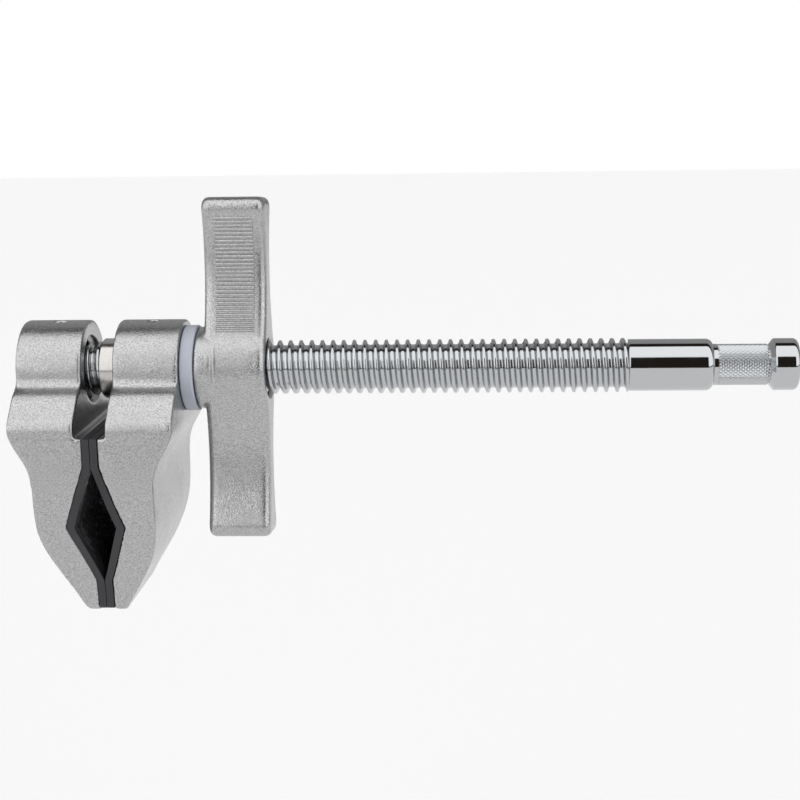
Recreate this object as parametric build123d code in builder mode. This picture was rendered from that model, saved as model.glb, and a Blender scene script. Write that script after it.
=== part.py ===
"""End-jaw screw clamp with a 5/8 in stud, millimetres.

+X runs along the rod towards the stud, +Z is up (the jaws hang down) and Y is the width of the jaws.
The origin is on the rod's axis, at the face where the rod's shoulder steps down to the stud's neck.
"""
import os
from math import cos, radians, sin, sqrt, tan
from build123d import *

# Rod: one bar, with a rolled thread, a plain shoulder, a knurled neck and the stud's head
STUD_R = 7.95
NECK_R = 6.35
NECK_LENGTH = 16.8
HEAD_CHAMFER = 1.6
STUD_TIP_X = 25.7
HEAD_TIP_FILLET = 1.7
SHOULDER_LENGTH = 25.9
SHOULDER_FILLET = 2.4
THREAD_PITCH = 3.3
THREAD_CREST_R = 8.3
THREAD_ROOT_R = 6.75
THREAD_CREST_FLAT = 1.05
THREAD_FLANK_ANGLE = 15.0
THREAD_LAST_CREST_X = -28.4 # the ridge nearest the shoulder
ROD_END_X = -210.7
ROD_END_PLAIN = 1.5         # the rolled ridges stop this short of the rod's end

# Jaws: each is measured outwards from the plane where the two pads meet
CONTACT_X = -186.9
EYE_R = 15.1
FLARE_HALF_WIDTH = 18.8
FLARE_Z = -4.0
SHOULDER_HALF_WIDTH = 24.2
SHOULDER_Z = -9.0
JAW_HALF_WIDTH = 27.5
JAW_WIDE_Z = -14.8
APEX_HALF_WIDTH = 26.2
TIP_HALF_WIDTH = 19.0
TIP_CORNER_R = 3.0
TIP_Z = -73.2
TIP_OUTER = 5.8
TOE_OUTER = 12.8
TOE_Z = -61.2
SHIN_OUTER = 17.7
SHIN_Z = -48.7
WAIST_OUTER = 18.4
WAIST_OUTER_Z = -34.0
HIP_OUTER = 19.4
HIP_Z = -26.0
ARM_INNER = 4.8
ARM_OUTER = 24.8
LEDGE_Z = -16.3

# Rubber pads, seated in the jaws' V
PAD_SEAT = 2.3
PAD_FACE = 0.1
PAD_BOTTOM_Z = -72.2
V_TOP_Z = -25.0
V_APEX_Z = -44.1
V_BOTTOM_Z = -63.0
V_SEAT_DEPTH = 8.9
V_FACE_DEPTH = 6.4

# Fits
RUNNING = 0.08              # round the rod and round the sleeve
SNUG = 0.02                 # round pieces that don't move
LOOSE = 0.1                 # between faces that turn against each other

# Fixed jaw on the rod
RECESS_R = 10.3
RECESS_DEPTH = 1.6
NOTCH_R = 1.5
NOTCH_OFFSET = 0.4
NOTCH_DEPTH = 3.0
PIN_R = 2.25
PIN_X = -201.1
PIN_TOP_Z = 13.6
PIN_BOTTOM_Z = -6.0
PIN_CHAMFER = 0.4

# Sleeve through the sliding jaw, and the screw that keeps the jaw on it
SLEEVE_R = 9.3
SLEEVE_INNER_X = -187.8
SLEEVE_OUTER_X = -139.8
GROOVE_WIDTH = 3.4
GROOVE_DEPTH = 0.5
SCREW_X = -172.0
SCREW_R = 2.0
SCREW_TOP_Z = 14.4
SCREW_LIFT = 0.3
DOG_R = 1.4
SOCKET_R = 1.1
SOCKET_DEPTH = 2.0

# Washer and handle
WASHER_R = 13.25
WASHER_THICK = 4.0
WASHER_EDGE_R = 0.3
BOSS_R = 12.75
HANDLE_FACE_X = -136.1      # the handle's face towards the stud
HANDLE_WIDTH = 19.3
HANDLE_HALF_LENGTH = 52.5
HANDLE_LEAN = -6.0          # where the handle stops with the jaws shut
HUB_HALF = 11.5
HUB_ROOT_HALF = 8.4
HUB_ROOT_Z = 9.5
HUB_BLEND_R = 7.0
WAIST_HALF = 4.8
WAIST_Z = 25.0
END_HALF = 8.8
WING_TIP_R = 3.5
HANDLE_EDGE_R = 2.0
MOUTH_R = 8.9
MOUTH_CHAMFER = 0.7

os.makedirs("parts", exist_ok=True)

# ---------------------------------------------------------------- threaded rod
flank_run = (THREAD_CREST_R - THREAD_ROOT_R) * tan(radians(THREAD_FLANK_ANGLE))
half_crest = THREAD_CREST_FLAT / 2
half_ridge = half_crest + flank_run
head_x = NECK_LENGTH + HEAD_CHAMFER
shoulder_step = STUD_R - NECK_R
shoulder_round = sqrt(2 * SHOULDER_FILLET * shoulder_step - shoulder_step**2)


def thread_outline():
    """The thread's ridges from the shoulder to the rod's end, at their true pitch and depth."""
    points = [(-SHOULDER_LENGTH, THREAD_ROOT_R)]
    crest_x = THREAD_LAST_CREST_X
    while crest_x - half_ridge > ROD_END_X + ROD_END_PLAIN:
        points.append((crest_x + half_ridge, THREAD_ROOT_R))
        points.append((crest_x + half_crest, THREAD_CREST_R))
        points.append((crest_x - half_crest, THREAD_CREST_R))
        points.append((crest_x - half_ridge, THREAD_ROOT_R))
        crest_x -= THREAD_PITCH
    points.append((ROD_END_X, THREAD_ROOT_R))
    return points


with BuildPart() as threaded_rod:
    with BuildSketch(Plane.XZ):
        with BuildLine():
            TangentArc((-shoulder_round, STUD_R), (0, NECK_R), tangent=(1, 0))
            Polyline(
                (0, NECK_R),
                (NECK_LENGTH, NECK_R),
                (head_x, STUD_R),
                (STUD_TIP_X, STUD_R),
                (STUD_TIP_X, 0),
                (ROD_END_X, 0),
                *reversed(thread_outline()),
                (-SHOULDER_LENGTH, STUD_R),
                (-shoulder_round, STUD_R),
            )
        make_face()
    revolve(axis=Axis.X)
    rims = threaded_rod.edges().filter_by(GeomType.CIRCLE)
    fillet([e for e in rims if abs(e.arc_center.X - STUD_TIP_X) < 0.01], HEAD_TIP_FILLET)
    with BuildSketch(Plane.XY.offset(PIN_BOTTOM_Z)):
        with Locations((PIN_X, 0)):
            Circle(PIN_R + SNUG)
    extrude(amount=PIN_TOP_Z - PIN_BOTTOM_Z, mode=Mode.SUBTRACT)
threaded_rod.part.label = "threaded_rod"
export_step(threaded_rod.part, "parts/threaded_rod.step")

# ---------------------------------------------------------------- jaws
# Side view: local x is the distance outwards from the contact plane, local y is the height.
side_view = Plane(origin=(CONTACT_X, 0, 0), x_dir=(1, 0, 0), z_dir=(0, -1, 0))
end_view = Plane.YZ.offset(CONTACT_X)

with BuildSketch(end_view) as jaw_front:
    with BuildLine():
        ThreePointArc((0, EYE_R), (EYE_R * sqrt(0.5), EYE_R * sqrt(0.5)), (EYE_R, 0))
        Spline(
            (EYE_R, 0),
            (FLARE_HALF_WIDTH, FLARE_Z),
            (SHOULDER_HALF_WIDTH, SHOULDER_Z),
            (JAW_HALF_WIDTH, JAW_WIDE_Z),
            tangents=((0, -1), (0, -1)),
        )
        Spline(
            (JAW_HALF_WIDTH, JAW_WIDE_Z),
            (APEX_HALF_WIDTH, V_APEX_Z),
            (TIP_HALF_WIDTH, TIP_Z + TIP_CORNER_R),
            tangents=((0, -1), (0, -1)),
        )
        RadiusArc((TIP_HALF_WIDTH, TIP_Z + TIP_CORNER_R), (TIP_HALF_WIDTH - TIP_CORNER_R, TIP_Z), TIP_CORNER_R)
        Line((TIP_HALF_WIDTH - TIP_CORNER_R, TIP_Z), (0, TIP_Z))
        Line((0, TIP_Z), (0, EYE_R))
    make_face()
    mirror(about=Plane.YZ)

with BuildPart() as jaw_casting:
    with BuildSketch(side_view):
        with BuildLine():
            Polyline(
                (ARM_OUTER, JAW_WIDE_Z),
                (ARM_OUTER, EYE_R + 1),
                (ARM_INNER, EYE_R + 1),
                (ARM_INNER, LEDGE_Z),
                (PAD_SEAT, LEDGE_Z),
                (PAD_SEAT, V_TOP_Z),
                (V_SEAT_DEPTH, V_APEX_Z),
                (PAD_SEAT, V_BOTTOM_Z),
                (PAD_SEAT, TIP_Z),
                (TIP_OUTER, TIP_Z),
            )
            Spline(
                (TIP_OUTER, TIP_Z),
                (TOE_OUTER, TOE_Z),
                (SHIN_OUTER, SHIN_Z),
                (WAIST_OUTER, WAIST_OUTER_Z),
                (HIP_OUTER, HIP_Z),
                (ARM_OUTER, JAW_WIDE_Z),
                tangents=((0.5, 1), (0.2, 1)),
            )
        make_face()
    extrude(amount=JAW_HALF_WIDTH + 1, both=True)
    extrude(jaw_front.sketch, amount=ARM_OUTER + 1, mode=Mode.INTERSECT)

with BuildPart() as pad_moulding:
    with BuildSketch(side_view):
        with BuildLine():
            Polyline(
                (PAD_SEAT, LEDGE_Z),
                (PAD_SEAT, V_TOP_Z),
                (V_SEAT_DEPTH, V_APEX_Z),
                (PAD_SEAT, V_BOTTOM_Z),
                (PAD_SEAT, PAD_BOTTOM_Z),
                (PAD_FACE, PAD_BOTTOM_Z),
                (PAD_FACE, V_BOTTOM_Z),
                (V_FACE_DEPTH, V_APEX_Z),
                (PAD_FACE, V_TOP_Z),
                (PAD_FACE, LEDGE_Z),
                close=True,
            )
        make_face()
    extrude(amount=JAW_HALF_WIDTH + 1, both=True)
    extrude(jaw_front.sketch, amount=ARM_OUTER, mode=Mode.INTERSECT)

with BuildPart() as sliding_jaw:
    add(jaw_casting.part)
    with BuildSketch(end_view):
        Circle(SLEEVE_R + RUNNING)
    extrude(amount=ARM_OUTER + 1, mode=Mode.SUBTRACT)
    with BuildSketch(Plane.XY):
        with Locations((SCREW_X, 0)):
            Circle(SCREW_R + SNUG)
    extrude(amount=EYE_R + 1, mode=Mode.SUBTRACT)
sliding_jaw.part.label = "sliding_jaw"
export_step(sliding_jaw.part, "parts/sliding_jaw.step")

with BuildPart() as sliding_jaw_pad:
    add(pad_moulding.part)
sliding_jaw_pad.part.label = "sliding_jaw_pad"
export_step(sliding_jaw_pad.part, "parts/sliding_jaw_pad.step")

fixed_inner_x = CONTACT_X - ARM_INNER
recess_floor = Plane.YZ.offset(fixed_inner_x - RECESS_DEPTH)

with BuildPart() as fixed_jaw:
    mirror(jaw_casting.part, about=end_view)
    with BuildSketch(end_view):
        Circle(THREAD_CREST_R + SNUG)
    extrude(amount=-ARM_OUTER - 1, mode=Mode.SUBTRACT)
    with BuildSketch(recess_floor):
        Circle(RECESS_R)
    extrude(amount=RECESS_DEPTH + 1, mode=Mode.SUBTRACT)
    with BuildSketch(recess_floor):
        with Locations((0, THREAD_CREST_R + NOTCH_OFFSET), (0, -THREAD_CREST_R - NOTCH_OFFSET)):
            Circle(NOTCH_R)
    extrude(amount=-NOTCH_DEPTH, mode=Mode.SUBTRACT)
    with BuildSketch(Plane.XY):
        with Locations((PIN_X, 0)):
            Circle(PIN_R + SNUG)
    extrude(amount=EYE_R + 1, mode=Mode.SUBTRACT)
fixed_jaw.part.label = "fixed_jaw"
export_step(fixed_jaw.part, "parts/fixed_jaw.step")

with BuildPart() as fixed_jaw_pad:
    mirror(pad_moulding.part, about=end_view)
fixed_jaw_pad.part.label = "fixed_jaw_pad"
export_step(fixed_jaw_pad.part, "parts/fixed_jaw_pad.step")

# ---------------------------------------------------------------- pin and screw
with BuildPart() as fixed_jaw_pin:
    with BuildSketch(Plane.XY.offset(PIN_BOTTOM_Z + LOOSE)):
        with Locations((PIN_X, 0)):
            Circle(PIN_R)
    extrude(amount=PIN_TOP_Z - PIN_BOTTOM_Z - LOOSE)
    chamfer(fixed_jaw_pin.edges(), PIN_CHAMFER)
fixed_jaw_pin.part.label = "fixed_jaw_pin"
export_step(fixed_jaw_pin.part, "parts/fixed_jaw_pin.step")

groove_floor_r = SLEEVE_R - GROOVE_DEPTH
screw_foot_z = SLEEVE_R + SCREW_LIFT

with BuildPart() as sliding_jaw_screw:
    with BuildSketch(Plane.XY.offset(screw_foot_z)):
        with Locations((SCREW_X, 0)):
            Circle(SCREW_R)
    extrude(amount=SCREW_TOP_Z - screw_foot_z)
    with BuildSketch(Plane.XY.offset(groove_floor_r + LOOSE)):
        with Locations((SCREW_X, 0)):
            Circle(DOG_R)
    extrude(amount=screw_foot_z - groove_floor_r)
    with BuildSketch(Plane.XY.offset(SCREW_TOP_Z - SOCKET_DEPTH)):
        with Locations((SCREW_X, 0)):
            RegularPolygon(SOCKET_R, 6)
    extrude(amount=SOCKET_DEPTH + 1, mode=Mode.SUBTRACT)
sliding_jaw_screw.part.label = "sliding_jaw_screw"
export_step(sliding_jaw_screw.part, "parts/sliding_jaw_screw.step")

# ---------------------------------------------------------------- sleeve, washer and handle
with BuildPart() as threaded_sleeve:
    with BuildSketch(Plane.YZ.offset(SLEEVE_INNER_X)):
        Circle(SLEEVE_R)
        Circle(THREAD_CREST_R + RUNNING, mode=Mode.SUBTRACT)
    extrude(amount=SLEEVE_OUTER_X - SLEEVE_INNER_X)
    with BuildSketch(Plane.YZ.offset(SCREW_X - GROOVE_WIDTH / 2)):
        Circle(SLEEVE_R + 1)
        Circle(groove_floor_r, mode=Mode.SUBTRACT)
    extrude(amount=GROOVE_WIDTH, mode=Mode.SUBTRACT)
threaded_sleeve.part.label = "threaded_sleeve"
export_step(threaded_sleeve.part, "parts/threaded_sleeve.step")

washer_x = CONTACT_X + ARM_OUTER + LOOSE
boss_x = washer_x + WASHER_THICK + LOOSE
body_x = HANDLE_FACE_X - HANDLE_WIDTH
lean = radians(HANDLE_LEAN)
handle_plane = Plane(origin=(body_x, 0, 0), x_dir=(0, cos(lean), sin(lean)), z_dir=(1, 0, 0))

with BuildPart() as thrust_washer:
    with BuildSketch(Plane.YZ.offset(washer_x)):
        Circle(WASHER_R)
        Circle(SLEEVE_R + RUNNING, mode=Mode.SUBTRACT)
    extrude(amount=WASHER_THICK)
    fillet(thrust_washer.edges().filter_by(GeomType.CIRCLE).sort_by(SortBy.RADIUS)[-2:], WASHER_EDGE_R)
thrust_washer.part.label = "thrust_washer"
export_step(thrust_washer.part, "parts/thrust_washer.step")

with BuildPart() as handle:
    with BuildSketch(handle_plane) as wings:
        with BuildLine():
            for side in (1, -1):
                hub_foot = (side * HUB_ROOT_HALF, -side * HUB_ROOT_Z)
                hub_head = (side * HUB_ROOT_HALF, side * HUB_ROOT_Z)
                near_end = (side * END_HALF, -side * HANDLE_HALF_LENGTH)
                far_end = (side * END_HALF, side * HANDLE_HALF_LENGTH)
                ThreePointArc(near_end, (side * WAIST_HALF, -side * WAIST_Z), hub_foot)
                ThreePointArc(hub_foot, (side * HUB_HALF, 0), hub_head)
                ThreePointArc(hub_head, (side * WAIST_HALF, side * WAIST_Z), far_end)
                Line(far_end, (-side * END_HALF, side * HANDLE_HALF_LENGTH))
        make_face()
        hub_corners = [v for v in wings.vertices() if abs(v.Y) < WAIST_Z]
        fillet(hub_corners, HUB_BLEND_R)
        tip_corners = [v for v in wings.vertices() if abs(v.Y) > WAIST_Z]
        fillet(tip_corners, WING_TIP_R)
    extrude(amount=HANDLE_WIDTH)
    fillet(handle.faces().sort_by(Axis.X)[0].edges(), HANDLE_EDGE_R)
    fillet(handle.faces().sort_by(Axis.X)[-1].edges(), HANDLE_EDGE_R)
    with BuildSketch(Plane.YZ.offset(boss_x)):
        Circle(BOSS_R)
    extrude(amount=body_x - boss_x + HANDLE_EDGE_R + 1)
    with BuildSketch(Plane.YZ.offset(boss_x)):
        Circle(SLEEVE_R)
    extrude(amount=SLEEVE_OUTER_X - boss_x, mode=Mode.SUBTRACT)
    with BuildSketch(Plane.YZ.offset(boss_x)):
        Circle(MOUTH_R)
    extrude(amount=HANDLE_FACE_X - boss_x + 1, mode=Mode.SUBTRACT)
    with BuildSketch(Plane.XZ):
        with BuildLine():
            Polyline(
                (HANDLE_FACE_X - MOUTH_CHAMFER, MOUTH_R - LOOSE),
                (HANDLE_FACE_X + LOOSE, MOUTH_R - LOOSE),
                (HANDLE_FACE_X + LOOSE, MOUTH_R + MOUTH_CHAMFER + LOOSE),
                (HANDLE_FACE_X - MOUTH_CHAMFER, MOUTH_R),
                close=True,
            )
        make_face()
    revolve(axis=Axis.X, mode=Mode.SUBTRACT)
handle.part.label = "handle"
export_step(handle.part, "parts/handle.step")
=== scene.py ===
"""Visual model of an end-jaw screw clamp: cast jaws and handle on a chromed, threaded rod with a 5/8 in stud.

Lengths are in millimetres up to the point where a mesh is made, and MM turns them to metres.
+X runs along the rod to the stud, the jaws hang down, and the rod's axis is the X axis.
"""
import math
import bpy
import numpy as np
from mathutils import Matrix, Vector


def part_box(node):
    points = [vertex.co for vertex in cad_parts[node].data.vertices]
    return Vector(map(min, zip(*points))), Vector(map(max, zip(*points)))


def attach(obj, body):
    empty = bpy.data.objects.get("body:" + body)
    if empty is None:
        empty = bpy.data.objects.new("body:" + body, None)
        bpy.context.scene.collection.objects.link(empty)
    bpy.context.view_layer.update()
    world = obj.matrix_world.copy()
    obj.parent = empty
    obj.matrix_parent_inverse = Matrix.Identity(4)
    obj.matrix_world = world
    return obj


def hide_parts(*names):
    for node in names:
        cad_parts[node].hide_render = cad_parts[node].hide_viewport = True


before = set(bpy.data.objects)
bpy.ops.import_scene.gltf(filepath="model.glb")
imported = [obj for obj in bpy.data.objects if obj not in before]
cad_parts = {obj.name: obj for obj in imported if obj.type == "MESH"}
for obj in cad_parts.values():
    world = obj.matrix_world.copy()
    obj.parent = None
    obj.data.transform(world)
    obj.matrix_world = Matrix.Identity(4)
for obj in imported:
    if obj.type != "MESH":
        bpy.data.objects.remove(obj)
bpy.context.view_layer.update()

MM = 0.001


def span(node_name, axis):
    """The lowest and highest coordinate of a CAD node along one axis, in millimetres."""
    low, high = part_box(node_name)
    return low[axis] / MM, high[axis] / MM


# Rod
ROD_END_X, STUD_TIP_X = span("threaded_rod", 0)
THREAD_CREST_R = span("threaded_rod", 2)[1]
THREAD_ROOT_R = 6.75
THREAD_PITCH = 3.3
THREAD_CREST_FLAT = 0.6
THREAD_FLANK_RUN = 0.9
THREAD_FACETS = 48               # round one turn
THREAD_ROWS = 19                 # across one pitch
THREAD_END_ROWS = 2.2            # how far the skin runs on past an end, in rows, before it turns in
THREAD_CREST_AT_TOP_X = -33.86   # one place where the ridge passes over the top of the rod
THREAD_RUN_OUT_X = -24.7         # the ridge fades on the shoulder
SHOULDER_START_X = -25.9
STUD_R = 7.95
NECK_R = 6.35
NECK_LAND = 1.2
NECK_LENGTH = 16.8
HEAD_X = 18.4
HEAD_TIP_FILLET = 1.7
HEAD_EDGE = (-0.2, 0.1)          # the head's broken back edge, along the rod from HEAD_X
HEAD_EDGE_DROP = 0.15
SHOULDER_FILLET = 2.4
SHOULDER_START_ROUND = 0.5
KNURL_STARTS = 34
KNURL_ROWS = 23
KNURL_DEPTH = 0.38
SAME_POINT = 0.005               # points closer than this are merged

# Castings
CAD_SEAM = 0.001                 # the CAD's loose triangles are joined within this
VOXEL = 0.42
SMOOTHING = 0.5
SMOOTHING_ROUNDS = 12
WING_RIB_PITCH = 1.17
WING_RIB_COUNT = 30
WING_RIB_WIDTH = 11.8
WING_RIB_FOOT_Z = 12.6
WING_RIB_X = -145.6
WING_RIB_R = 0.46
WING_RIB_SIDES = 8
WING_RAY_START = 60.0            # rays that find the wing's face start this far from the rod's axis
WING_RAY_LENGTH = 200.0

# Pads
CONTACT_X = -186.9
PAD_BACK = 2.3
PAD_FACE = 0.1
V_TOP_Z = -25.0
V_APEX_Z = -44.1
V_BOTTOM_Z = -63.0
V_BACK_DEPTH = 8.9
V_FACE_DEPTH = 6.4
PAD_RIM = 2.6
PAD_CELL = 0.5
RIB_PITCH = 3.0
RIB_COLUMN = 7.0
RIB_SLOPE = 0.9
RIB_GROOVE = 1.1
RIB_RUN_IN = 0.6                 # the grooves reach full depth this far inside the rim
SAME_LEVEL = 0.02                # CAD points closer in height than this are on one level

# Sleeve
SLEEVE_BORE_R = 8.38
SLEEVE_GROOVE = (-173.7, -170.3)
SLEEVE_GROOVE_DEPTH = 0.5
SLEEVE_EDGE = 0.4

# Washer
WASHER_FIT = 0.08                # between the washer's bore and the sleeve
WASHER_EDGE = 0.5


# ---------------------------------------------------------------- node helpers
def feed(tree, made, inputs):
    """Set a node's inputs, by name or number, to a value, a socket or another node's first output."""
    for key, value in inputs.items():
        if isinstance(value, bpy.types.Node):
            value = value.outputs[0]
        if isinstance(value, bpy.types.NodeSocket):
            tree.links.new(value, made.inputs[key])
        else:
            made.inputs[key].default_value = value


def node(tree, kind, inputs=None, **settings):
    """Add a node with its settings, and feed its inputs."""
    made = tree.nodes.new(kind)
    for name, value in settings.items():
        setattr(made, name, value)
    feed(tree, made, inputs or {})
    return made


def colour(code):
    """An sRGB hex code as linear red, green and blue, with full alpha."""
    parts = [int(code[i:i + 2], 16) / 255 for i in (1, 3, 5)]
    return [*(c / 12.92 if c <= 0.04045 else ((c + 0.055) / 1.055) ** 2.4 for c in parts), 1.0]


def new_material(name):
    """An empty node material, its Principled shader and the object's own coordinates."""
    material = bpy.data.materials.new(name)
    material.use_nodes = True
    tree = material.node_tree
    tree.nodes.clear()
    shader = node(tree, "ShaderNodeBsdfPrincipled")
    node(tree, "ShaderNodeOutputMaterial", {"Surface": shader})
    place = node(tree, "ShaderNodeTexCoord").outputs["Object"]
    return material, tree, shader, place


def per_mm(feature):
    """The texture scale that makes one pattern cell this many millimetres, in metre coordinates."""
    return 1 / (feature * MM)


# ---------------------------------------------------------------- materials
def cast_aluminium():
    """Cast aluminium, barrel finished: bright and satin, with a fine pebbled skin and slow ripples."""
    material, tree, shader, place = new_material("barrel_finished_cast_aluminium")
    grain = node(tree, "ShaderNodeTexNoise", {"Vector": place, "Scale": per_mm(0.42), "Detail": 3.0})
    ripple = node(tree, "ShaderNodeTexNoise", {"Vector": place, "Scale": per_mm(6.0), "Detail": 2.0})
    rub = node(tree, "ShaderNodeTexNoise", {"Vector": place, "Scale": per_mm(14.0), "Detail": 4.0})
    tint = node(tree, "ShaderNodeValToRGB", {"Fac": grain})
    for element, position, code in zip(tint.color_ramp.elements, (0.36, 0.62), ("#9C9C9C", "#BDBDBE")):
        element.position = position
        element.color = colour(code)
    gloss = node(tree, "ShaderNodeMapRange", {0: rub, 1: 0.3, 2: 0.7, 3: 0.22, 4: 0.32})
    slow = node(tree, "ShaderNodeBump", {"Height": ripple, "Strength": 0.35, "Distance": 0.35 * MM})
    fine = node(tree, "ShaderNodeBump", {
        "Height": grain, "Strength": 0.6, "Distance": 0.12 * MM, "Normal": slow})
    feed(tree, shader, {"Base Color": tint, "Roughness": gloss, "Normal": fine, "Metallic": 1.0})
    return material


def chrome_plate(name, sharpest, dullest):
    """Chrome plate on steel: a mirror, very slightly wavy, with faint wiping haze between two roughnesses."""
    material, tree, shader, place = new_material(name)
    haze = node(tree, "ShaderNodeTexNoise", {"Vector": place, "Scale": per_mm(5.0), "Detail": 3.0})
    wave = node(tree, "ShaderNodeTexNoise", {"Vector": place, "Scale": per_mm(3.0), "Detail": 1.0})
    gloss = node(tree, "ShaderNodeMapRange", {0: haze, 1: 0.35, 2: 0.75, 3: sharpest, 4: dullest})
    bump = node(tree, "ShaderNodeBump", {"Height": wave, "Strength": 0.25, "Distance": 0.02 * MM})
    feed(tree, shader, {"Base Color": colour("#BABCBE"), "Roughness": gloss, "Normal": bump, "Metallic": 1.0})
    return material


def turned_steel():
    """Machined and polished steel: grey and warm beside the chrome, with fine turned rings round the axis."""
    material, tree, shader, place = new_material("turned_steel")
    along = node(tree, "ShaderNodeMapping", {"Vector": place, "Scale": (1.0, 0.02, 0.02)})
    rings = node(tree, "ShaderNodeTexNoise", {"Vector": along, "Scale": per_mm(0.3), "Detail": 2.0})
    stain = node(tree, "ShaderNodeTexNoise", {"Vector": place, "Scale": per_mm(7.0), "Detail": 3.0})
    tint = node(tree, "ShaderNodeMix", {0: stain, 6: colour("#B4B1AD"), 7: colour("#D0CFCE")},
                data_type="RGBA")
    bump = node(tree, "ShaderNodeBump", {"Height": rings, "Strength": 0.3, "Distance": 0.03 * MM})
    gloss = node(tree, "ShaderNodeMapRange", {0: rings, 1: 0.3, 2: 0.7, 3: 0.14, 4: 0.24})
    feed(tree, shader, {
        "Base Color": tint.outputs[2], "Roughness": gloss, "Normal": bump, "Metallic": 1.0})
    return material


def blackened_steel():
    """Black-oxide steel, as on grub screws and spring pins: dark, oily and a little mottled."""
    material, tree, shader, place = new_material("black_oxide_steel")
    mottle = node(tree, "ShaderNodeTexNoise", {"Vector": place, "Scale": per_mm(0.8), "Detail": 3.0})
    tint = node(tree, "ShaderNodeMix", {0: mottle, 6: colour("#2E2D2C"), 7: colour("#5A5956")},
                data_type="RGBA")
    gloss = node(tree, "ShaderNodeMapRange", {0: mottle, 1: 0.3, 2: 0.7, 3: 0.28, 4: 0.45})
    feed(tree, shader, {"Base Color": tint.outputs[2], "Roughness": gloss, "Metallic": 0.9})
    return material


def moulded_rubber():
    """Moulded black rubber: charcoal, matt, with a fine mould grain and paler dusty patches."""
    material, tree, shader, place = new_material("moulded_black_rubber")
    grain = node(tree, "ShaderNodeTexNoise", {"Vector": place, "Scale": per_mm(0.4), "Detail": 3.0})
    dust = node(tree, "ShaderNodeTexNoise", {"Vector": place, "Scale": per_mm(6.0), "Detail": 4.0})
    tint = node(tree, "ShaderNodeMix", {0: dust, 6: colour("#1B1B1D"), 7: colour("#303034")},
                data_type="RGBA")
    bump = node(tree, "ShaderNodeBump", {"Height": grain, "Strength": 0.5, "Distance": 0.06 * MM})
    gloss = node(tree, "ShaderNodeMapRange", {0: dust, 1: 0.3, 2: 0.7, 3: 0.38, 4: 0.55})
    feed(tree, shader, {"Base Color": tint.outputs[2], "Roughness": gloss, "Normal": bump})
    return material


def natural_nylon():
    """Natural nylon, turned from bar: milky blue-grey, waxy and slightly see-through at its edges."""
    material, tree, shader, place = new_material("natural_nylon")
    along = node(tree, "ShaderNodeMapping", {"Vector": place, "Scale": (1.0, 0.05, 0.05)})
    rings = node(tree, "ShaderNodeTexNoise", {"Vector": along, "Scale": per_mm(0.5), "Detail": 2.0})
    cloud = node(tree, "ShaderNodeTexNoise", {"Vector": place, "Scale": per_mm(9.0), "Detail": 2.0})
    tint = node(tree, "ShaderNodeMix", {0: cloud, 6: colour("#A3A8B4"), 7: colour("#B4B9C3")},
                data_type="RGBA")
    bump = node(tree, "ShaderNodeBump", {"Height": rings, "Strength": 0.25, "Distance": 0.03 * MM})
    feed(tree, shader, {
        "Base Color": tint.outputs[2], "Roughness": 0.42, "Normal": bump, "IOR": 1.53,
        "Subsurface Weight": 0.12, "Subsurface Radius": (1.2 * MM, 1.2 * MM, 1.4 * MM),
        "Subsurface Scale": 1.0})
    return material


aluminium = cast_aluminium()
chrome = chrome_plate("bright_chrome_plate", 0.045, 0.11)
thread_chrome = chrome_plate("chrome_plate_on_rolled_thread", 0.10, 0.20)
knurl_chrome = chrome_plate("chrome_plate_on_knurl", 0.22, 0.30)
steel = turned_steel()
black_steel = blackened_steel()
rubber = moulded_rubber()
nylon = natural_nylon()


# ---------------------------------------------------------------- mesh helpers
def place_piece(piece, body, slot, *nodes):
    """Ride a finished piece on its body and let it stand for its CAD nodes. The slot is not used."""
    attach(piece, body)
    if nodes:
        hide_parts(*nodes)


def piece_from(name, points, faces, material, sharp=None):
    """A mesh object from points in millimetres, smooth except at edges over an angle in degrees."""
    mesh = bpy.data.meshes.new(name)
    mesh.from_pydata((np.asarray(points) * MM).tolist(), [], faces)
    mesh.validate()
    mesh.materials.append(material)
    mesh.shade_smooth()
    if sharp:
        mesh.set_sharp_from_angle(angle=math.radians(sharp))
    piece = bpy.data.objects.new(name, mesh)
    bpy.context.scene.collection.objects.link(piece)
    return piece


def baked(holder, name):
    """Turn what an object's modifiers make into a plain mesh object, and remove the object."""
    bpy.context.view_layer.update()
    shown = holder.evaluated_get(bpy.context.evaluated_depsgraph_get())
    mesh = bpy.data.meshes.new_from_object(shown)
    mesh.name = name
    piece = bpy.data.objects.new(name, mesh)
    bpy.context.scene.collection.objects.link(piece)
    bpy.data.objects.remove(holder)
    return piece


def round_corner(centre_x, centre_r, radius, start, end, steps=6):
    """Points of an arc in a lathe outline, from one angle in degrees to another."""
    angles = np.radians(np.linspace(start, end, steps + 1))
    return [(centre_x + radius * math.cos(a), centre_r + radius * math.sin(a)) for a in angles]


def supported(outline, reach=0.12, long=1.0):
    """A lathe outline with a point just inside each end of its long runs, which keeps their shading true."""
    points = []
    for (x0, r0), (x1, r1) in zip(outline, outline[1:]):
        points.append((x0, r0))
        run = math.hypot(x1 - x0, r1 - r0)
        if run > long and r0 > 0 and r1 > 0:
            for share in (reach / run, 1 - reach / run):
                points.append((x0 + share * (x1 - x0), r0 + share * (r1 - r0)))
    return points + [outline[-1]]


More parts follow.
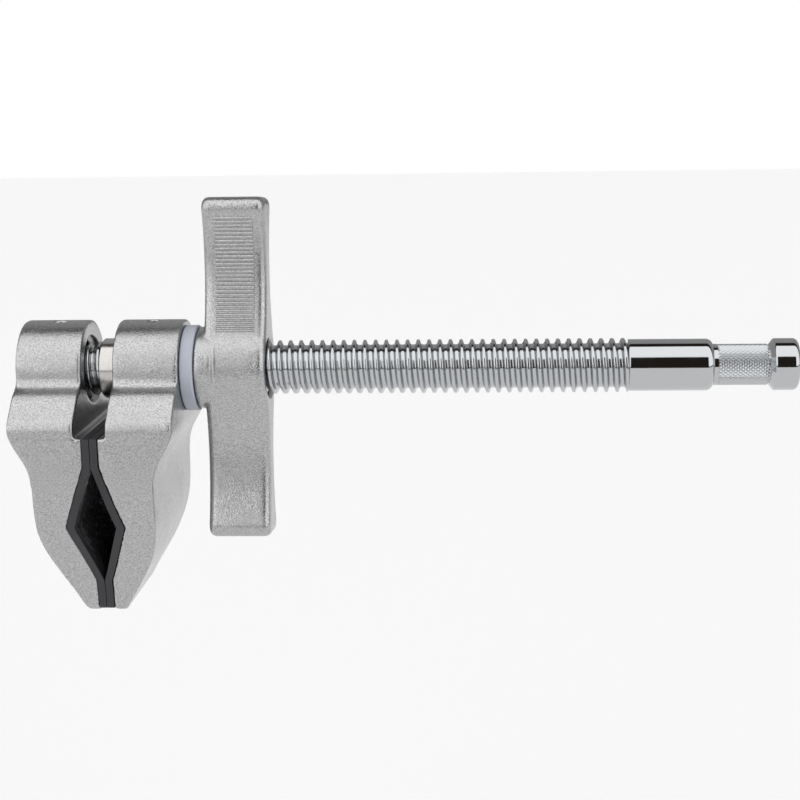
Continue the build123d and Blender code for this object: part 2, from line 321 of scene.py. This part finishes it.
def lathe(name, outline, material, segments=96, sharp=30):
    """Turn an outline of (x, radius) about the rod's axis. It runs from axis to axis, or it is a ring."""
    outline = supported(outline)
    solid = outline[0][1] == 0
    inner = outline[1:-1] if solid else outline
    turns = np.linspace(0, 2 * math.pi, segments, endpoint=False)
    points = [(x, r * math.sin(t), r * math.cos(t)) for x, r in inner for t in turns]
    rings = len(inner)
    faces = []
    for i in range(rings - 1 if solid else rings):
        low, high = i * segments, (i + 1) % rings * segments
        for j in range(segments):
            k = (j + 1) % segments
            faces.append((low + j, high + j, high + k, low + k))
    if solid:
        for x, first in ((outline[0][0], 0), (outline[-1][0], (rings - 1) * segments)):
            points.append((x, 0, 0))
            pole = len(points) - 1
            for j in range(segments):
                ends = (first + j, first + (j + 1) % segments)
                faces.append((pole, *ends) if first == 0 else (pole, *reversed(ends)))
    return piece_from(name, points, faces, material, sharp)


# ---------------------------------------------------------------- geometry node trees
def geometry_tree(name, sizes):
    """A Geometry Nodes tree with a named input for each size, and the sockets that give those inputs."""
    tree = bpy.data.node_groups.new(name, "GeometryNodeTree")
    for label, value in sizes.items():
        kind = "NodeSocketMaterial" if isinstance(value, bpy.types.Material) else "NodeSocketFloat"
        if isinstance(value, int):
            kind = "NodeSocketInt"
        if isinstance(value, bpy.types.Object):
            kind = "NodeSocketObject"
        tree.interface.new_socket(label, in_out="INPUT", socket_type=kind)
    tree.interface.new_socket("Geometry", in_out="OUTPUT", socket_type="NodeSocketGeometry")
    return tree, node(tree, "NodeGroupInput").outputs


def run_tree(name, tree, sizes):
    """Run a tree on an empty mesh with its inputs set, and keep the result as a plain mesh."""
    holder = bpy.data.objects.new(name + "_maker", bpy.data.meshes.new(name + "_maker"))
    bpy.context.scene.collection.objects.link(holder)
    modifier = holder.modifiers.new("maker", "NODES")
    modifier.node_group = tree
    for socket in tree.interface.items_tree:
        if socket.in_out == "INPUT":
            modifier[socket.identifier] = sizes[socket.name]
    return baked(holder, name)


def thread_piece():
    """The rod's rolled thread: a grid wound round the axis, with the ridge up its middle."""
    first = THREAD_CREST_AT_TOP_X - THREAD_PITCH / 2
    first -= THREAD_PITCH * math.ceil((first - ROD_END_X) / THREAD_PITCH + 1)
    turns = math.ceil((THREAD_RUN_OUT_X - first) / THREAD_PITCH) + 1
    skin = THREAD_END_ROWS * THREAD_PITCH / (THREAD_ROWS - 1)
    sizes = {
        "Turns": turns, "Facets a turn": THREAD_FACETS, "Rows a pitch": THREAD_ROWS, "First": first * MM,
        "Pitch": THREAD_PITCH * MM, "Root radius": THREAD_ROOT_R * MM,
        "Depth": (THREAD_CREST_R - THREAD_ROOT_R) * MM, "Half crest": THREAD_CREST_FLAT / 2 * MM,
        "Flank": THREAD_FLANK_RUN * MM, "Start": ROD_END_X * MM, "End": THREAD_RUN_OUT_X * MM,
        "Run out": (THREAD_RUN_OUT_X - SHOULDER_START_X) * MM, "Skin": skin * MM, "Finish": thread_chrome,
    }
    tree, given = geometry_tree("rolled_thread", sizes)
    columns = node(tree, "ShaderNodeMath", {0: given["Turns"], 1: given["Facets a turn"], 2: 1.0},
                   operation="MULTIPLY_ADD")
    grid = node(tree, "GeometryNodeMeshGrid", {
        "Size X": given["Turns"], "Size Y": 1.0, "Vertices X": columns, "Vertices Y": given["Rows a pitch"]})
    flat = node(tree, "ShaderNodeSeparateXYZ", {0: node(tree, "GeometryNodeInputPosition")})
    turn = node(tree, "ShaderNodeMath", {0: given["Turns"], 1: 0.5, 2: flat.outputs[0]},
                operation="MULTIPLY_ADD")
    across = node(tree, "ShaderNodeMath", {0: flat.outputs[1], 1: 0.5}, operation="ADD")
    pitches = node(tree, "ShaderNodeMath", {0: turn, 1: across}, operation="ADD")
    along = node(tree, "ShaderNodeMath", {0: pitches, 1: given["Pitch"], 2: given["First"]},
                 operation="MULTIPLY_ADD")
    angle = node(tree, "ShaderNodeMath", {0: turn, 1: math.tau}, operation="MULTIPLY")
    # the ridge: how far a point is from the middle of its pitch, turned to a height from 0 to 1
    off_middle = node(tree, "ShaderNodeMath", {0: flat.outputs[1]}, operation="ABSOLUTE")
    distance = node(tree, "ShaderNodeMath", {0: off_middle, 1: given["Pitch"]}, operation="MULTIPLY")
    foot = node(tree, "ShaderNodeMath", {0: given["Half crest"], 1: given["Flank"]}, operation="ADD")
    ridge = node(tree, "ShaderNodeMapRange", {0: distance, 1: foot, 2: given["Half crest"], 3: 0.0, 4: 1.0},
                 interpolation_type="SMOOTHSTEP")
    fade_out_from = node(tree, "ShaderNodeMath", {0: given["End"], 1: given["Run out"]}, operation="SUBTRACT")
    fade_out = node(tree, "ShaderNodeMapRange", {0: along, 1: fade_out_from, 2: given["End"], 3: 1.0, 4: 0.0})
    fade_in_to = node(tree, "ShaderNodeMath", {0: given["Start"], 1: given["Run out"]}, operation="ADD")
    fade_in = node(tree, "ShaderNodeMapRange", {0: along, 1: given["Start"], 2: fade_in_to, 3: 0.0, 4: 1.0})
    fades = node(tree, "ShaderNodeMath", {0: fade_in, 1: fade_out}, operation="MULTIPLY")
    height = node(tree, "ShaderNodeMath", {0: ridge, 1: fades}, operation="MULTIPLY")
    outside = node(tree, "ShaderNodeMath", {0: height, 1: given["Depth"], 2: given["Root radius"]},
                   operation="MULTIPLY_ADD")
    # past either end the skin turns in to the axis, so that the piece is closed
    before = node(tree, "ShaderNodeMath", {0: given["Start"], 1: along}, operation="SUBTRACT")
    after = node(tree, "ShaderNodeMath", {0: along, 1: given["End"]}, operation="SUBTRACT")
    past = node(tree, "ShaderNodeMath", {0: before, 1: after}, operation="MAXIMUM")
    kept = node(tree, "ShaderNodeMath", {0: past, 1: given["Skin"]}, operation="LESS_THAN")
    radius = node(tree, "ShaderNodeMath", {0: outside, 1: kept}, operation="MULTIPLY")
    x = node(tree, "ShaderNodeClamp", {0: along, 1: given["Start"], 2: given["End"]})
    sine = node(tree, "ShaderNodeMath", {0: angle}, operation="SINE")
    cosine = node(tree, "ShaderNodeMath", {0: angle}, operation="COSINE")
    back = node(tree, "ShaderNodeMath", {0: radius, 1: -1.0}, operation="MULTIPLY")
    y = node(tree, "ShaderNodeMath", {0: back, 1: sine}, operation="MULTIPLY")
    z = node(tree, "ShaderNodeMath", {0: radius, 1: cosine}, operation="MULTIPLY")
    wound = node(tree, "GeometryNodeSetPosition", {
        "Geometry": grid, "Position": node(tree, "ShaderNodeCombineXYZ", {0: x, 1: y, 2: z})})
    joined = node(tree, "GeometryNodeMergeByDistance", {"Geometry": wound, "Distance": SAME_POINT * MM})
    smooth = node(tree, "GeometryNodeSetShadeSmooth", {"Geometry": joined})
    real = node(tree, "GeometryNodeRealizeInstances", {"Geometry": smooth})
    finish = node(tree, "GeometryNodeSetMaterial", {"Geometry": real, "Material": given["Finish"]})
    node(tree, "NodeGroupOutput", {"Geometry": finish})
    return run_tree("rod_thread", tree, sizes)


def knurl_piece():
    """The neck's diamond knurl: a grid round the axis whose points are peaks and valleys by turns."""
    step = (NECK_LENGTH - NECK_LAND) / (KNURL_ROWS - 2)
    sizes = {
        "Rows": KNURL_ROWS, "Points round": 2 * KNURL_STARTS, "Start": NECK_LAND * MM, "Step": step * MM,
        "Valley radius": (NECK_R - KNURL_DEPTH) * MM, "Depth": KNURL_DEPTH * MM, "Finish": knurl_chrome,
    }
    tree, given = geometry_tree("diamond_knurl", sizes)
    rows = node(tree, "ShaderNodeMath", {0: given["Rows"], 1: 1.0}, operation="ADD")
    columns = node(tree, "ShaderNodeMath", {0: given["Points round"], 1: 1.0}, operation="ADD")
    grid = node(tree, "GeometryNodeMeshGrid", {
        "Size X": given["Rows"], "Size Y": given["Points round"], "Vertices X": rows, "Vertices Y": columns})
    flat = node(tree, "ShaderNodeSeparateXYZ", {0: node(tree, "GeometryNodeInputPosition")})
    row = node(tree, "ShaderNodeMath", {0: given["Rows"], 1: 0.5, 2: flat.outputs[0]},
               operation="MULTIPLY_ADD")
    column = node(tree, "ShaderNodeMath", {0: given["Points round"], 1: 0.5, 2: flat.outputs[1]},
                  operation="MULTIPLY_ADD")
    both = node(tree, "ShaderNodeMath", {0: row, 1: column}, operation="ADD")
    half = node(tree, "ShaderNodeMath", {0: both, 1: 0.5}, operation="MULTIPLY")
    part = node(tree, "ShaderNodeMath", {0: half}, operation="FRACT")
    odd = node(tree, "ShaderNodeMath", {0: part, 1: 0.25}, operation="GREATER_THAN")
    # rows from the nearer end: 0 is the axis, 1 the end ring, and peaks start at 2
    from_middle = node(tree, "ShaderNodeMath", {0: flat.outputs[0]}, operation="ABSOLUTE")
    half_rows = node(tree, "ShaderNodeMath", {0: given["Rows"], 1: 0.5}, operation="MULTIPLY")
    from_end = node(tree, "ShaderNodeMath", {0: half_rows, 1: from_middle}, operation="SUBTRACT")
    off_axis = node(tree, "ShaderNodeMath", {0: from_end, 1: 0.5}, operation="GREATER_THAN")
    inner = node(tree, "ShaderNodeMath", {0: from_end, 1: 1.5}, operation="GREATER_THAN")
    peak = node(tree, "ShaderNodeMath", {0: odd, 1: inner}, operation="MULTIPLY")
    raised = node(tree, "ShaderNodeMath", {0: peak, 1: given["Depth"], 2: given["Valley radius"]},
                  operation="MULTIPLY_ADD")
    radius = node(tree, "ShaderNodeMath", {0: raised, 1: off_axis}, operation="MULTIPLY")
    steps = node(tree, "ShaderNodeMath", {0: row, 1: 1.0}, operation="SUBTRACT")
    last = node(tree, "ShaderNodeMath", {0: given["Rows"], 1: 2.0}, operation="SUBTRACT")
    held = node(tree, "ShaderNodeClamp", {0: steps, 1: 0.0, 2: last})
    x = node(tree, "ShaderNodeMath", {0: held, 1: given["Step"], 2: given["Start"]}, operation="MULTIPLY_ADD")
    share = node(tree, "ShaderNodeMath", {0: column, 1: given["Points round"]}, operation="DIVIDE")
    angle = node(tree, "ShaderNodeMath", {0: share, 1: math.tau}, operation="MULTIPLY")
    sine = node(tree, "ShaderNodeMath", {0: angle}, operation="SINE")
    cosine = node(tree, "ShaderNodeMath", {0: angle}, operation="COSINE")
    y = node(tree, "ShaderNodeMath", {0: radius, 1: sine}, operation="MULTIPLY")
    z = node(tree, "ShaderNodeMath", {0: radius, 1: cosine}, operation="MULTIPLY")
    wound = node(tree, "GeometryNodeSetPosition", {
        "Geometry": grid, "Position": node(tree, "ShaderNodeCombineXYZ", {0: x, 1: y, 2: z})})
    joined = node(tree, "GeometryNodeMergeByDistance", {"Geometry": wound, "Distance": SAME_POINT * MM})
    facets = node(tree, "GeometryNodeTriangulate", {"Mesh": joined})
    flat_faced = node(tree, "GeometryNodeSetShadeSmooth", {"Geometry": facets, "Shade Smooth": False})
    real = node(tree, "GeometryNodeRealizeInstances", {"Geometry": flat_faced})
    finish = node(tree, "GeometryNodeSetMaterial", {"Geometry": real, "Material": given["Finish"]})
    node(tree, "NodeGroupOutput", {"Geometry": finish})
    return run_tree("rod_neck_knurl", tree, sizes)


def wing_ribs(casting, name, side):
    """Thumb ribs laid across one wing: the upper wing's front for side 1, the lower one's back for -1."""
    sizes = {
        "Count": WING_RIB_COUNT, "Pitch": side * WING_RIB_PITCH * MM, "Foot": side * WING_RIB_FOOT_Z * MM,
        "X": WING_RIB_X * MM, "Width": WING_RIB_WIDTH * MM, "Thickness": WING_RIB_R * MM,
        "Stand off": -side * WING_RAY_START * MM, "Look": float(side), "Surface": casting,
        "Finish": aluminium,
    }
    tree, given = geometry_tree(name, sizes)
    start = node(tree, "ShaderNodeCombineXYZ", {0: given["X"], 1: given["Stand off"], 2: given["Foot"]})
    step = node(tree, "ShaderNodeCombineXYZ", {2: given["Pitch"]})
    places = node(tree, "GeometryNodeMeshLine", {
        "Count": given["Count"], "Start Location": start, "Offset": step})
    surface = node(tree, "GeometryNodeObjectInfo", {"Object": given["Surface"]}).outputs["Geometry"]
    look = node(tree, "ShaderNodeCombineXYZ", {1: given["Look"]})
    hit = node(tree, "GeometryNodeRaycast", {
        "Target Geometry": surface, "Ray Direction": look, "Ray Length": WING_RAY_LENGTH * MM})
    laid = node(tree, "GeometryNodeSetPosition", {
        "Geometry": places, "Position": hit.outputs["Hit Position"]})
    bar = node(tree, "GeometryNodeMeshCone", {
        "Vertices": WING_RIB_SIDES, "Side Segments": 1, "Radius Top": given["Thickness"],
        "Radius Bottom": given["Thickness"], "Depth": given["Width"]}, fill_type="TRIANGLE_FAN")
    lying = node(tree, "GeometryNodeTransform", {
        "Geometry": bar, "Translation": (-WING_RIB_WIDTH / 2 * MM, 0.0, 0.0),
        "Rotation": (0.0, math.pi / 2, 0.0)})
    copies = node(tree, "GeometryNodeInstanceOnPoints", {"Points": laid, "Instance": lying})
    real = node(tree, "GeometryNodeRealizeInstances", {"Geometry": copies})
    finish = node(tree, "GeometryNodeSetMaterial", {"Geometry": real, "Material": given["Finish"]})
    node(tree, "NodeGroupOutput", {"Geometry": finish})
    return run_tree(name, tree, sizes)


# ---------------------------------------------------------------- castings
def casting(name, node_name):
    """A cast piece: its CAD solid rebuilt as an even skin and relaxed, which rounds every edge."""
    holder = bpy.data.objects.new(name + "_rough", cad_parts[node_name].data.copy())
    bpy.context.scene.collection.objects.link(holder)
    weld = holder.modifiers.new("weld", "WELD")
    weld.merge_threshold = CAD_SEAM * MM
    skin = holder.modifiers.new("skin", "REMESH")
    skin.mode = "VOXEL"
    skin.voxel_size = VOXEL * MM
    relax = holder.modifiers.new("relax", "SMOOTH")
    relax.factor = SMOOTHING
    relax.iterations = SMOOTHING_ROUNDS
    piece = baked(holder, name)
    piece.data.materials.clear()
    piece.data.materials.append(aluminium)
    piece.data.shade_smooth()
    return piece


# ---------------------------------------------------------------- pads
def pad(name, node_name, side):
    """A jaw's rubber pad: a bent strip that follows the V, with herringbone grooves in its gripping face."""
    low_z, high_z = span(node_name, 2)
    outline = np.array([v.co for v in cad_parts[node_name].data.vertices]) / MM
    levels = np.unique(outline[:, 2].round(2))
    widths = [outline[abs(outline[:, 2] - level) < SAME_LEVEL][:, 1].max() for level in levels]
    bends_z = np.array([high_z, V_TOP_Z, V_APEX_Z, V_BOTTOM_Z, low_z])
    back = np.array([PAD_BACK, PAD_BACK, V_BACK_DEPTH, PAD_BACK, PAD_BACK])
    face = np.array([PAD_FACE, PAD_FACE, V_FACE_DEPTH, PAD_FACE, PAD_FACE])
    run = np.concatenate([[0], np.cumsum(np.hypot(np.diff(face), np.diff(bends_z)))])
    rows = np.unique(np.concatenate([np.arange(0, run[-1], PAD_CELL), run]))
    across = np.linspace(-1, 1, 2 * round(max(widths) / PAD_CELL) + 1)
    heights = np.interp(rows, run, bends_z)
    half_width = np.interp(heights, levels, widths)
    y = half_width[:, None] * across[None, :]
    z = np.broadcast_to(heights[:, None], y.shape)
    rim = np.minimum(half_width[:, None] - abs(y), np.minimum(rows, run[-1] - rows)[:, None])
    column = abs((y / RIB_COLUMN) % 1 - 0.5) * RIB_COLUMN
    wave = (rows[:, None] + RIB_SLOPE * 2 * column) / RIB_PITCH
    full = np.clip((rim - PAD_RIM) / RIB_RUN_IN, 0, 1)
    groove = RIB_GROOVE * (0.5 - 0.5 * np.cos(math.tau * wave)) ** 2 * full
    shells = []
    for depth in (np.interp(rows, run, face)[:, None] + groove, np.interp(rows, run, back)[:, None] + 0 * y):
        shells.append(np.stack([CONTACT_X + side * depth, y, z], axis=-1))
    count_v, count_u = y.shape
    size = count_v * count_u
    faces = []
    for v in range(count_v - 1):
        for u in range(count_u - 1):
            a = v * count_u + u
            quad = (a, a + 1, a + count_u + 1, a + count_u)
            faces.append(quad)
            faces.append(tuple(size + i for i in reversed(quad)))
    edge = list(range(count_u))
    edge += [v * count_u + count_u - 1 for v in range(1, count_v)]
    edge += [(count_v - 1) * count_u + u for u in reversed(range(count_u - 1))]
    edge += [v * count_u for v in reversed(range(1, count_v - 1))]
    for a, b in zip(edge, edge[1:] + edge[:1]):
        faces.append((b, a, size + a, size + b))
    if side < 0:
        faces = [tuple(reversed(f)) for f in faces]
    points = np.concatenate([shell.reshape(-1, 3) for shell in shells])
    return piece_from(name, points, faces, rubber, sharp=50)


# ---------------------------------------------------------------- build the clamp
def build_rod():
    """Thread, shoulder, knurled neck and head: all one chromed bar."""
    step = STUD_R - NECK_R
    reach = math.degrees(math.acos((SHOULDER_FILLET - step) / SHOULDER_FILLET))
    round_x = -SHOULDER_FILLET * math.sin(math.radians(reach))
    start = SHOULDER_START_ROUND
    shoulder = lathe("rod_shoulder", [
        (SHOULDER_START_X, 0),
        *round_corner(SHOULDER_START_X + start, STUD_R - start, start, 180, 90, 4),
        *round_corner(round_x, STUD_R - SHOULDER_FILLET, SHOULDER_FILLET, 90, 90 - reach, 10),
        (NECK_LAND, NECK_R),
        (NECK_LAND, 0),
    ], chrome)
    head = lathe("rod_head", [
        (NECK_LENGTH, 0),
        (NECK_LENGTH, NECK_R - KNURL_DEPTH),
        (HEAD_X + HEAD_EDGE[0], STUD_R - HEAD_EDGE_DROP),
        (HEAD_X + HEAD_EDGE[1], STUD_R),
        *round_corner(STUD_TIP_X - HEAD_TIP_FILLET, STUD_R - HEAD_TIP_FILLET, HEAD_TIP_FILLET, 90, 0, 8),
        (STUD_TIP_X, 0),
    ], chrome)
    for piece in (thread_piece(), shoulder, knurl_piece(), head):
        place_piece(piece, "rod", "chrome_steel", "threaded_rod")


def build_sleeve():
    """The tube that carries the handle's thread through the sliding jaw."""
    low, high = span("threaded_sleeve", 0)
    radius = span("threaded_sleeve", 2)[1]
    groove_low, groove_high = SLEEVE_GROOVE
    sleeve = lathe("threaded_sleeve_turned", [
        (low, SLEEVE_BORE_R + SLEEVE_EDGE),
        (low, radius - SLEEVE_EDGE),
        (low + SLEEVE_EDGE, radius),
        (groove_low, radius),
        (groove_low, radius - SLEEVE_GROOVE_DEPTH),
        (groove_high, radius - SLEEVE_GROOVE_DEPTH),
        (groove_high, radius),
        (high, radius),
        (high, SLEEVE_BORE_R),
        (low + SLEEVE_EDGE, SLEEVE_BORE_R),
    ], steel)
    place_piece(sleeve, "handle", "steel", "threaded_sleeve")


def build_washer():
    """The nylon washer between the sliding jaw and the handle's boss."""
    low, high = span("thrust_washer", 0)
    radius = span("thrust_washer", 2)[1]
    bore = span("threaded_sleeve", 2)[1] + WASHER_FIT
    edge = WASHER_EDGE
    washer = lathe("thrust_washer_turned", [
        (low, bore),
        *round_corner(low + edge, radius - edge, edge, 180, 90, 5),
        *round_corner(high - edge, radius - edge, edge, 90, 0, 5),
        (high, bore),
    ], nylon)
    place_piece(washer, "washer", "nylon", "thrust_washer")


def build_castings():
    """The two jaws and the wing handle."""
    place_piece(casting("fixed_jaw_casting", "fixed_jaw"), "rod", "cast_aluminium", "fixed_jaw")
    place_piece(casting("sliding_jaw_casting", "sliding_jaw"), "sliding_jaw", "cast_aluminium", "sliding_jaw")
    handle = casting("handle_casting", "handle")
    place_piece(handle, "handle", "cast_aluminium", "handle")
    for name, side in (("upper_wing_ribs", 1), ("lower_wing_ribs", -1)):
        place_piece(wing_ribs(handle, name, side), "handle", "cast_aluminium")


def build_pads():
    """The rubber pads in the jaws."""
    moulding = pad("fixed_jaw_pad_moulding", "fixed_jaw_pad", -1)
    place_piece(moulding, "rod", "rubber", "fixed_jaw_pad")
    moulding = pad("sliding_jaw_pad_moulding", "sliding_jaw_pad", 1)
    place_piece(moulding, "sliding_jaw", "rubber", "sliding_jaw_pad")


def finish_pins():
    """The pin and the screw keep their CAD shape."""
    for name in ("fixed_jaw_pin", "sliding_jaw_screw"):
        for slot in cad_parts[name].material_slots:
            slot.material = black_steel


build_rod()
build_sleeve()
build_washer()
build_castings()
build_pads()
finish_pins()


# ---------------------------------------------------------------- studio
# heights are in degrees up from the front horizon, over the top and down to the back one
LAMP_LOW = 43.0
LAMP_HIGH = 100.0
LAMP_POWER = 1.5
BACKDROP_FROM = 120.0
BLUR = 2.5
# in front, between the softbox and the horizon, it is dark only in a slot. Places across it are shares of a
# direction of length 1, and the softbox comes down to the horizon on both sides.
DARK_SLOT_X = 0.12
DARK_SLOT_HALF = 0.18
DARK_SLOT_EDGE = 0.06

WHITE = colour("#FFFFFF")
FLOOR_Z = -350.0
FLOOR_HALF = 6000.0
FLOOR_GLOW = 0.12

CAMERA_PLACE = (-59.04, -473.00, 91.27)
CAMERA_TURN = (2.97, 12.15, -0.90)   # towards the jaws, down, and its roll, in degrees
CAMERA_LENS = 70.32
CAMERA_SENSOR = 36.0
CAMERA_SHIFT_X = -0.05


def studio_light():
    """A large softbox in front and overhead, a grey backdrop behind, and dark between and in a front slot."""
    world = bpy.data.worlds.new("studio")
    bpy.context.scene.world = world
    world.use_nodes = True
    tree = world.node_tree
    tree.nodes.clear()
    way = node(tree, "ShaderNodeSeparateXYZ", {0: node(tree, "ShaderNodeTexCoord").outputs["Generated"]})
    front = node(tree, "ShaderNodeMath", {0: way.outputs[1], 1: -1.0}, operation="MULTIPLY")
    height = node(tree, "ShaderNodeMath", {0: way.outputs[2], 1: front}, operation="ARCTAN2")
    off_slot = node(tree, "ShaderNodeMath", {0: way.outputs[0], 1: DARK_SLOT_X}, operation="SUBTRACT")
    sideways = node(tree, "ShaderNodeMath", {0: off_slot}, operation="ABSOLUTE")
    low = node(tree, "ShaderNodeMapRange", {
        0: sideways, 1: DARK_SLOT_HALF, 2: DARK_SLOT_HALF + DARK_SLOT_EDGE,
        3: math.radians(LAMP_LOW), 4: 0.0})
    low_end = node(tree, "ShaderNodeMath", {0: low, 1: math.radians(BLUR)}, operation="ADD")
    above = node(tree, "ShaderNodeMapRange", {0: height, 1: low, 2: low_end, 3: 0.0, 4: 1.0})
    below = node(tree, "ShaderNodeMapRange", {
        0: height, 1: math.radians(LAMP_HIGH - BLUR), 2: math.radians(LAMP_HIGH), 3: 1.0, 4: 0.0})
    lamp = node(tree, "ShaderNodeMath", {0: above, 1: below}, operation="MULTIPLY")
    behind = node(tree, "ShaderNodeMapRange", {
        0: height, 1: math.radians(BACKDROP_FROM - BLUR), 2: math.radians(BACKDROP_FROM), 3: 0.0, 4: 1.0})
    dark_and_lamp = node(tree, "ShaderNodeMix", {
        0: lamp, 6: colour("#2A2522"), 7: (LAMP_POWER, LAMP_POWER, LAMP_POWER, 1.0)}, data_type="RGBA")
    studio = node(tree, "ShaderNodeMix", {0: behind, 6: dark_and_lamp.outputs[2], 7: colour("#A8A8A8")},
                  data_type="RGBA")
    seen = node(tree, "ShaderNodeMix", {
        0: node(tree, "ShaderNodeLightPath").outputs["Is Camera Ray"],
        6: studio.outputs[2], 7: WHITE}, data_type="RGBA")
    sky = node(tree, "ShaderNodeBackground", {"Color": seen.outputs[2], "Strength": 1.0})
    node(tree, "ShaderNodeOutputWorld", {"Surface": sky})


def pale_floor():
    """A wide, plain, pale floor below the clamp."""
    material, tree, shader, _ = new_material("pale_paper")
    feed(tree, shader, {
        "Base Color": colour("#F4F4F4"), "Roughness": 0.9, "Emission Color": WHITE,
        "Emission Strength": FLOOR_GLOW})
    corners = [(x * FLOOR_HALF, y * FLOOR_HALF, FLOOR_Z) for x, y in ((-1, -1), (1, -1), (1, 1), (-1, 1))]
    piece_from("floor", corners, [(0, 1, 2, 3)], material)


def front_camera():
    """In front, a little above and turned slightly towards the jaws."""
    azimuth, elevation, roll = (math.radians(angle) for angle in CAMERA_TURN)
    ahead = math.cos(elevation)
    forward = (-math.sin(azimuth) * ahead, math.cos(azimuth) * ahead, -math.sin(elevation))
    level = (math.cos(azimuth), math.sin(azimuth), 0.0)
    upright = np.cross(level, forward)
    right = math.cos(roll) * np.array(level) + math.sin(roll) * upright
    up = math.cos(roll) * upright - math.sin(roll) * np.array(level)
    data = bpy.data.cameras.new("camera")
    data.lens = CAMERA_LENS
    data.sensor_width = CAMERA_SENSOR
    data.shift_x = CAMERA_SHIFT_X
    data.clip_start = 10 * MM
    data.clip_end = 50.0
    camera = bpy.data.objects.new("camera", data)
    turned = Matrix([right, up, [-f for f in forward]]).transposed().to_4x4()
    camera.matrix_world = Matrix.Translation([c * MM for c in CAMERA_PLACE]) @ turned
    bpy.context.scene.collection.objects.link(camera)
    bpy.context.scene.camera = camera


studio_light()
pale_floor()
front_camera()
bpy.context.scene.view_settings.view_transform = "Standard"
